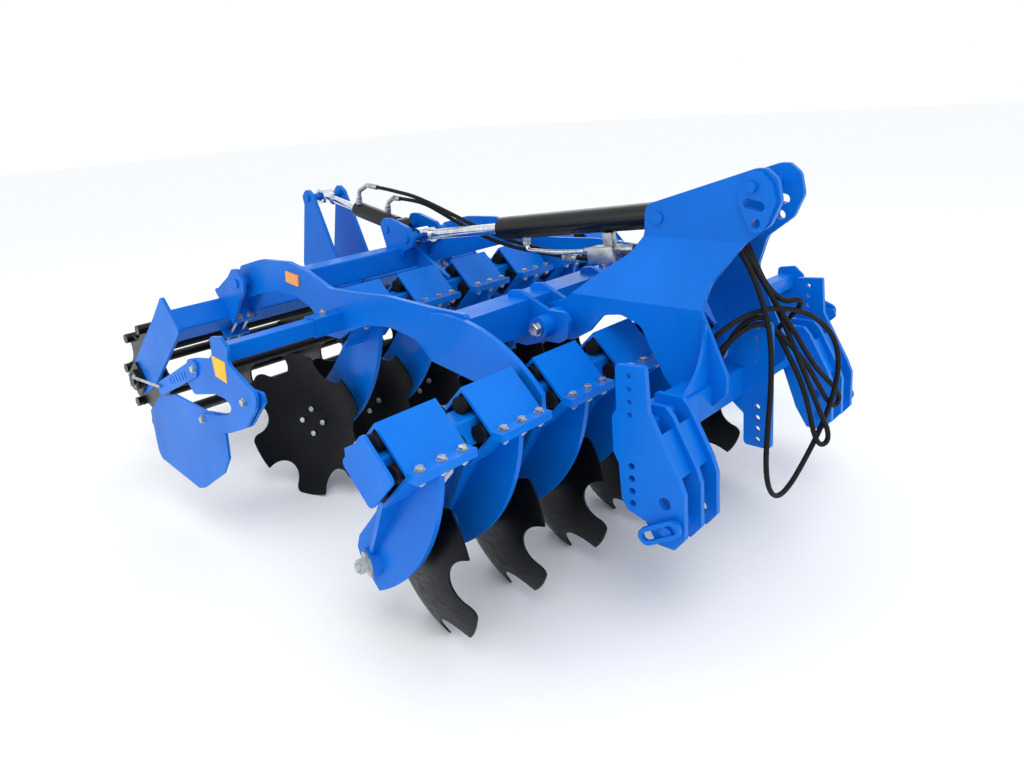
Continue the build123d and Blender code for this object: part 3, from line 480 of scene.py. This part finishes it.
# ---------------------------------------------------------------- weld beads of the cross beams
BEAMS = (
    # centre y, centre z and half size
    (-670, 675, 50),
    (72, 750, 40),
)
WELD_X = 484                  # just inside the side plates
SQUARE = ((-1, -1), (1, -1), (1, 1), (-1, 1), (-1, -1))
welds = Shapes()
for y, z, half in BEAMS:
    for side in (-1, 1):
        welds.bead([(side * WELD_X, y + a * half, z + b * half) for a, b in SQUARE])
welds.finish("frame_welds", "frame", "paint", "frame_paint")

# ---------------------------------------------------------------- hydraulics
HOSE_R = 7
PIPE_R = 7
COUPLING_R = 13
PLUG_R = 11


def beside(pin, along, up):
    """Places given as (x, along, up) from a cylinder's pin, in the drawing's millimetres."""
    def place(x, a, u):
        return Vector((x, pin[0] + a * along[0] + u * up[0], pin[1] + a * along[1] + u * up[1]))
    return place


TOP = beside((-1054, 951), (0.9932, -0.1169), (0.1169, 0.9932))
DEPTH = beside((99, 856), (0.978, 0.2088), (-0.2088, 0.978))


def tube(name, points, radius, material):
    """Tube along one open NURBS spline through the route's points, and the line that it follows."""
    curve = bpy.data.curves.new(name + "_line", "CURVE")
    curve.dimensions = "3D"
    curve.resolution_u = 8
    spline = curve.splines.new("NURBS")
    spline.points.add(len(points) - 1)
    for control, spot in zip(spline.points, points):
        control.co = (*at(*spot), 1)
    spline.order_u = 3
    spline.use_endpoint_u = True
    guide = bpy.data.objects.new(name + "_guide", curve)
    line = bpy.data.meshes.new_from_object(guide)
    path = [vertex.co.copy() for vertex in line.vertices]
    curve.bevel_depth = radius * MM
    curve.bevel_resolution = 4
    curve.use_fill_caps = True
    mesh = bpy.data.meshes.new_from_object(guide)
    mesh.name = name
    bpy.data.objects.remove(guide)
    bpy.data.curves.remove(curve)
    bpy.data.meshes.remove(line)
    mesh.shade_smooth()
    mesh.materials.clear()
    mesh.materials.append(MATERIALS[material])
    piece = bpy.data.objects.new(name, mesh)
    bpy.context.collection.objects.link(piece)
    return piece, path


def hose(name, points):
    """Rubber hose along the route's points; it is not set on a body."""
    piece, path = tube(name, points, HOSE_R, "cord_rubber")
    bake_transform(piece)


def fitting(shapes, start, end, radius):
    """Crimped ferrule with a hexagon at its far end."""
    start, end = Vector(start), Vector(end)
    axis = end - start
    length = axis.length
    shapes.lathe(start, axis, (
        (radius * 0.86, 0), (radius, length * 0.06), (radius, length * 0.52), (radius * 0.84, length * 0.56),
        (radius * 0.84, length * 0.7),
    ))
    shapes.nut(start + axis * 0.66, axis, radius * 1.9, length * 0.34)


for name, x in (("depth_hose_1", 74), ("depth_hose_2", 44)):
    coupling = Shapes()
    fitting(coupling, (x, -634, 791), (x, -662, 791), COUPLING_R)
    fitting(coupling, (x, -690, 791), (x, -662, 791), COUPLING_R)
    coupling.finish(name + "_coupling", "frame", "zinc", "zinc_steel")
for name, spot, towards in (
    ("tractor_hose_1", (94, -1285, 551), (94, -1284, 500)),
    ("tractor_hose_2", (-86, -1240, 596), (-87, -1222, 560)),
    ("top_hose_1", (-134, -1190, 616), (-135, -1165, 570)),
    ("top_hose_2", (-112, -1240, 616), (-118, -1215, 575)),
):
    plug = Shapes()
    fitting(plug, spot, towards, PLUG_R)
    plug.finish(name + "_plug", "headstock", "zinc", "zinc_steel")

HOSES = {
    # name: control points, bodies, bending stretch, far end
    "depth_hose_1": (
        [(-14, 200, 999), (-14, 140, 993), (-14, 80, 984), (-13, 10, 974), (-9, -65, 953), (2, -140, 924),
         (22, -215, 889), (44, -290, 856), (58, -370, 830), (67, -450, 812), (72, -540, 798),
         (74, -640, 791)],
        ("depth_barrel", "frame"), ((-14, 190, 997), (-9, -120, 930)), "fitting",
    ),
    "depth_hose_2": (
        [(8, 100, 957), (8, 30, 953), (10, -40, 941), (16, -110, 912), (27, -180, 878), (38, -250, 848),
         (43, -330, 823), (45, -420, 806), (45, -530, 797), (44, -640, 791)],
        ("depth_barrel", "frame"), ((8, 90, 957), (16, -180, 880)), "fitting",
    ),
    "tractor_hose_1": (
        [(74, -684, 791), (74, -740, 791), (73, -810, 799), (68, -890, 820), (60, -970, 851),
         (53, -1050, 884),
         (49, -1125, 916), (48, -1185, 934), (45, -1235, 908), (32, -1275, 840), (14, -1318, 775),
         (24, -1362, 735), (48, -1385, 742), (80, -1385, 728), (96, -1358, 690), (98, -1315, 645),
         (96, -1290, 600), (94, -1285, 545)],
        ("frame", "headstock"), ((74, -700, 791), (49, -1100, 905)), "plug",
    ),
    "tractor_hose_2": (
        [(44, -684, 791), (44, -740, 791), (44, -810, 797), (42, -890, 815), (38, -970, 845),
         (32, -1050, 879),
         (28, -1125, 914), (26, -1185, 934), (24, -1238, 906), (18, -1282, 832), (22, -1328, 752),
         (44, -1360, 660), (76, -1386, 560), (112, -1404, 470), (140, -1418, 400), (172, -1424, 350),
         (178, -1422, 312), (148, -1412, 308), (128, -1402, 350), (112, -1394, 430), (86, -1382, 510),
         (54, -1360, 590), (30, -1335, 665),
         (-10, -1318, 705), (-60, -1290, 690), (-84, -1262, 640), (-86, -1240, 590)],
        ("frame", "headstock"), ((44, -700, 791), (27, -1100, 905)), "plug",
    ),
    "top_hose_1": (
        [(-44, -960, 861), (-45, -1020, 866), (-47, -1080, 886), (-48, -1135, 914), (-48, -1190, 934),
         (-48, -1248, 914), (-46, -1295, 850), (-44, -1328, 775), (-45, -1352, 700), (-44, -1362, 620),
         (-50, -1364, 520), (-66, -1364, 420), (-72, -1362, 320), (-52, -1362, 245), (-8, -1364, 205),
         (50, -1370, 212), (110, -1382, 262), (160, -1405, 345), (200, -1425, 440), (216, -1432, 530),
         (196, -1424, 610), (140, -1398, 672), (60, -1370, 712), (-20, -1332, 726), (-90, -1288, 706),
         (-130, -1240, 655), (-134, -1190, 610)],
        ("top_barrel", "headstock"), ((-44, -965, 861), (-48, -1130, 912)), "plug",
    ),
    "top_hose_2": (
        [(-20, -960, 861), (-21, -1020, 866), (-23, -1080, 886), (-25, -1135, 914), (-26, -1190, 934),
         (-26, -1246, 912), (-20, -1300, 835), (10, -1345, 735), (62, -1380, 640), (118, -1400, 550),
         (178, -1414, 492), (222, -1424, 452), (248, -1424, 416), (228, -1418, 396),
         (196, -1410, 422), (158, -1402, 476), (108, -1392, 545),
         (52, -1368, 616), (14, -1335, 672), (-36, -1316, 690), (-90, -1282, 662), (-112, -1240, 610)],
        ("top_barrel", "headstock"), ((-20, -965, 861), (-26, -1130, 912)), "plug",
    ),
}
for name, (points, bodies, span, far_end) in HOSES.items():
    hose(name, points)

ports = Shapes()
for x, base, elbow, ferrule_from, ferrule_to in (
    (-14, 238, ((238, 78), (190, 113)), (190, 112), (129, 119)),
    (8, 91, ((91, 66), (60, 92)), (60, 92), (22, 98.6)),
):
    ports.rod(DEPTH(x, base, 26), DEPTH(x, base, 46), 12)
    ports.nut(DEPTH(x, base, 46), DEPTH(x, base, 47) - DEPTH(x, base, 46), 20, 12)
    ports.rod(DEPTH(x, base, 56), DEPTH(x, *elbow[0]), 8)
    ports.rod(DEPTH(x, *elbow[0]), DEPTH(x, *elbow[1]), 8)
    fitting(ports, DEPTH(x, *ferrule_to), DEPTH(x, *ferrule_from), 10)
ports.finish("depth_cylinder_ports", "depth_barrel", "zinc", "zinc_steel")

valve = Shapes()
TOWARDS_ROD = TOP(0, 1, 0) - TOP(0, 0, 0)
BELOW = TOP(0, 0, -1) - TOP(0, 0, 0)
for x_from, x_to, edge, outline in (
    (-64, -8, 2, ((165, -120), (257, -120), (257, -72), (165, -72))),
    (-20, 4, 1.5, ((195, -76), (228, -76), (228, -37), (195, -37))),
):
    valve.plate([TOP(0, a, u)[1:] for a, u in outline], x_from, x_to, edge)
for x in (-44, -20):
    fitting(valve, TOP(x, 105, -84), TOP(x, 166, -84), 11)
for a, low in ((217, -146), (180, -134)):
    valve.rod(TOP(-38, a, -118), TOP(-38, a, low), 9)
    valve.nut(TOP(-38, a, -119), BELOW, 20, 9)
valve.nut(TOP(-30, 256, -86), TOWARDS_ROD, 24, 18)
valve.nut(TOP(-30, 276, -86), TOWARDS_ROD, 20, 14)
valve.rod(TOP(0, 544, -28), TOP(0, 544, -48), 14)
valve.nut(TOP(0, 544, -46), BELOW, 24, 14)
valve.finish("valve_block", "top_barrel", "zinc", "zinc_steel")
pipe, _ = tube("valve_pipe", [
    TOP(0, 544, -50), TOP(0, 546, -72), TOP(-4, 528, -78), TOP(-12, 480, -80), TOP(-28, 400, -86),
    TOP(-30, 262, -86),
], PIPE_R, "chrome")
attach(pipe, "top_barrel")

rail = Shapes()
rail.rod((-57, -1190, 915), (57, -1190, 915), 8)
rail.finish("hose_rail", "headstock", "paint", "frame_paint")

# ---------------------------------------------------------------- floor, light and camera
SHIFT_X = 0.0148
SHIFT_Y = -0.0786
LENS = 28.2
CAMERA_AT = Vector((-1.877, -2.219, 1.282)) + at(0, 0, 0)
CAMERA_AZIMUTH = math.radians(45.37)    # from +Y toward +X
CAMERA_PITCH = math.radians(14.18)      # down
CAMERA_ROLL = math.radians(-4.26)
LIT_POINT = Vector((0, 0, 0.5))
FLOOR_HALF = 30


def backdrop():
    """Pale floor that keeps the object's shadow and looks white to the camera."""
    mesh = bpy.data.meshes.new("floor")
    corners = [(x * FLOOR_HALF, y * FLOOR_HALF, 0) for x, y in ((-1, -1), (1, -1), (1, 1), (-1, 1))]
    mesh.from_pydata(corners, [], [(0, 1, 2, 3)])
    floor = bpy.data.objects.new("floor", mesh)
    bpy.context.collection.objects.link(floor)
    nodes = Nodes("pale_floor")
    nodes.set(Roughness=0.9)
    clouds = nodes.noise(0.6, 3)
    nodes.color(nodes.ramp(clouds, (0.3, linear(253, 253, 253)), (0.7, linear(254, 254, 254))))
    mesh.materials.append(nodes.material)


def world():
    """Soft studio light from a pale sky, which the camera sees as white."""
    scene = bpy.context.scene
    scene.world = bpy.data.worlds.new("studio")
    scene.world.use_nodes = True
    tree = scene.world.node_tree
    tree.nodes.clear()
    out = tree.nodes.new("ShaderNodeOutputWorld")
    mixer = tree.nodes.new("ShaderNodeMixShader")
    lit = tree.nodes.new("ShaderNodeBackground")
    lit.inputs["Color"].default_value = (0.95, 0.98, 1, 1)
    lit.inputs["Strength"].default_value = 1.0
    white = tree.nodes.new("ShaderNodeBackground")
    white.inputs["Color"].default_value = (1, 1, 1, 1)
    white.inputs["Strength"].default_value = 1.0
    path = tree.nodes.new("ShaderNodeLightPath")
    tree.links.new(path.outputs["Is Camera Ray"], mixer.inputs["Fac"])
    tree.links.new(lit.outputs["Background"], mixer.inputs[1])
    tree.links.new(white.outputs["Background"], mixer.inputs[2])
    tree.links.new(mixer.outputs["Shader"], out.inputs["Surface"])


def area_light(name, place, size, power):
    """Square soft box that looks at the machine's middle."""
    data = bpy.data.lights.new(name, "AREA")
    data.size = size
    data.energy = power
    lamp = bpy.data.objects.new(name, data)
    bpy.context.collection.objects.link(lamp)
    lamp.location = place
    lamp.rotation_euler = (LIT_POINT - Vector(place)).to_track_quat("-Z", "Y").to_euler()


def camera():
    """Camera at the height and side from which the machine is seen."""
    data = bpy.data.cameras.new("camera")
    data.lens = LENS
    data.sensor_width = 36
    data.shift_x = SHIFT_X
    data.shift_y = SHIFT_Y
    data.clip_end = 100
    view = bpy.data.objects.new("camera", data)
    bpy.context.collection.objects.link(view)
    turn = Matrix.Rotation(-CAMERA_AZIMUTH, 4, "Z")
    tilt = Matrix.Rotation(math.pi / 2 - CAMERA_PITCH, 4, "X")
    roll = Matrix.Rotation(CAMERA_ROLL, 4, "Z")
    view.matrix_world = Matrix.Translation(CAMERA_AT) @ turn @ tilt @ roll
    bpy.context.scene.camera = view


bpy.context.scene.view_settings.view_transform = "Standard"
backdrop()
world()
area_light("key", (-2.6, -3.4, 5.2), 3.0, 110)
area_light("fill", (-4.6, 1.6, 3.0), 3.0, 30)
area_light("back", (3.4, 3.0, 3.6), 2.5, 30)
camera()
